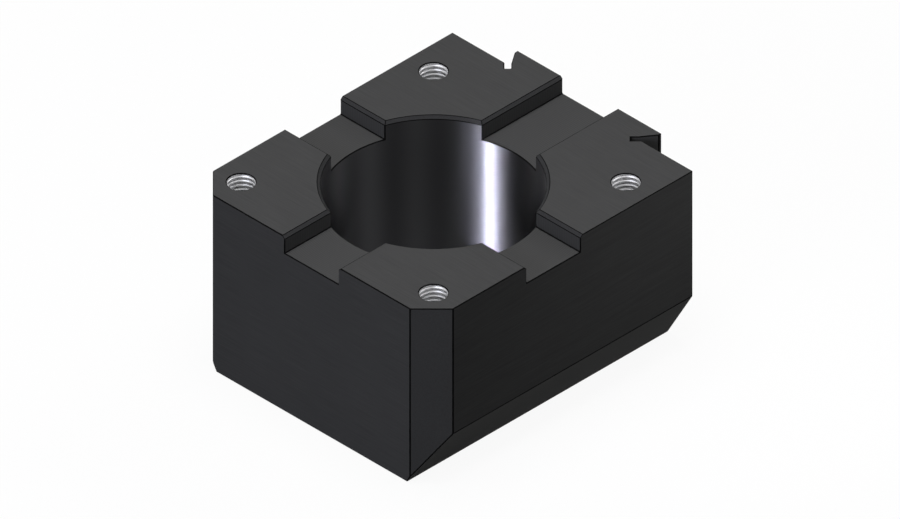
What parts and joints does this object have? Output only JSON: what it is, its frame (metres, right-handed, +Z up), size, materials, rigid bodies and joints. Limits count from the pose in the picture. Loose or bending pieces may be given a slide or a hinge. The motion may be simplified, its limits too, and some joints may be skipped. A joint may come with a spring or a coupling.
{
  "type": "tool holder assembly fixture",
  "caption": "Bench block that holds a turret tool holder upright by its shank, flange bolts and keys while it is assembled, with a dovetail on its back.",
  "frame": {"origin": "on the bore axis, at the bottom face of the block", "axes": "+Z up along the bore, +Y out of the back face that carries the dovetail, X across the two plain sides"},
  "size_m": [0.1, 0.1158, 0.063],
  "materials": {
    "blackened_steel": "black oxide over a milled and ground surface"
  },
  "bodies": {
    "root": {"fixture_block": "blackened_steel"}
  },
  "joints": []
}
